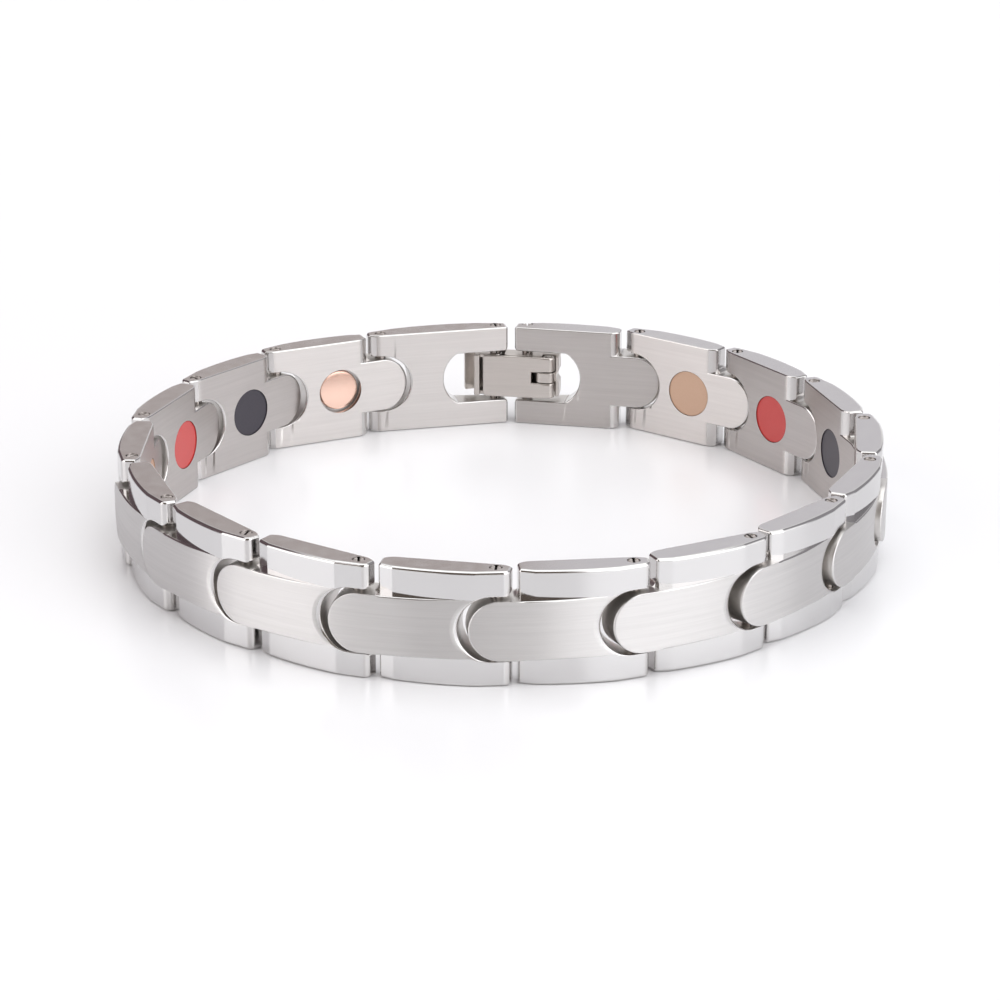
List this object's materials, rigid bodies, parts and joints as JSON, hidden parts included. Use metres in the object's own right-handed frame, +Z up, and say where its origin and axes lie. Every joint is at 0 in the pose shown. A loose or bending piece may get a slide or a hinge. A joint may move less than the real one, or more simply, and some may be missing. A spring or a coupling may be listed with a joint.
{
  "type": "stainless steel link bracelet",
  "caption": "Closed ring of hinged steel links with raised tongues, coloured discs on the inside and a fold-over clasp, standing on its edge.",
  "frame": {"origin": "middle of the ring on the surface that the bracelet's lower edge stands on", "axes": "+Z up along the ring's axis, +Y towards the clasp, +X to the right seen from the front"},
  "size_m": [0.0721, 0.0715, 0.0104],
  "materials": {
    "link_steel": "brushed band and inside, polished rails and edges",
    "clasp_steel": "brushed",
    "pin_steel": "drawn wire",
    "copper": "satin copper",
    "black_disc": "smooth",
    "red_disc": "smooth",
    "tan_disc": "smooth"
  },
  "bodies": {
    "bracelet": {"clasp_link_left": "link_steel", "link_01": "link_steel", "link_02": "link_steel", "link_03": "link_steel", "link_04": "link_steel", "link_05": "link_steel", "link_06": "link_steel", "link_07": "link_steel", "link_08": "link_steel", "link_09": "link_steel", "link_10": "link_steel", "link_11": "link_steel", "link_12": "link_steel", "link_13": "link_steel", "link_14": "link_steel", "link_15": "link_steel", "link_16": "link_steel", "clasp_link_right": "link_steel", "disc_copper_01": "copper", "disc_black_02": "black_disc", "disc_red_03": "red_disc", "disc_tan_04": "tan_disc", "disc_copper_05": "copper", "disc_black_06": "black_disc", "disc_red_07": "red_disc", "disc_tan_08": "tan_disc", "disc_copper_09": "copper", "disc_black_10": "black_disc", "disc_red_11": "red_disc", "disc_tan_12": "tan_disc", "disc_copper_13": "copper", "disc_black_14": "black_disc", "disc_red_15": "red_disc", "disc_tan_16": "tan_disc", "pin_01": "pin_steel", "pin_02": "pin_steel", "pin_03": "pin_steel", "pin_04": "pin_steel", "pin_05": "pin_steel", "pin_06": "pin_steel", "pin_07": "pin_steel", "pin_08": "pin_steel", "pin_09": "pin_steel", "pin_10": "pin_steel", "pin_11": "pin_steel", "pin_12": "pin_steel", "pin_13": "pin_steel", "pin_14": "pin_steel", "pin_15": "pin_steel", "pin_16": "pin_steel", "pin_17": "pin_steel", "clasp_pin_right": "pin_steel", "clasp_pin_left": "pin_steel", "clasp_base": "clasp_steel", "clasp_catch": "clasp_steel", "cover_pin": "pin_steel"},
    "cover": {"clasp_cover": "clasp_steel"}
  },
  "joints": [
    {"name": "cover_hinge", "type": "hinge", "parent": "bracelet", "child": "cover", "pos_m": [0.00472, 0.03249, 0.0052], "axis": [0, 0, 1], "range_deg": [0, 120]}
  ]
}
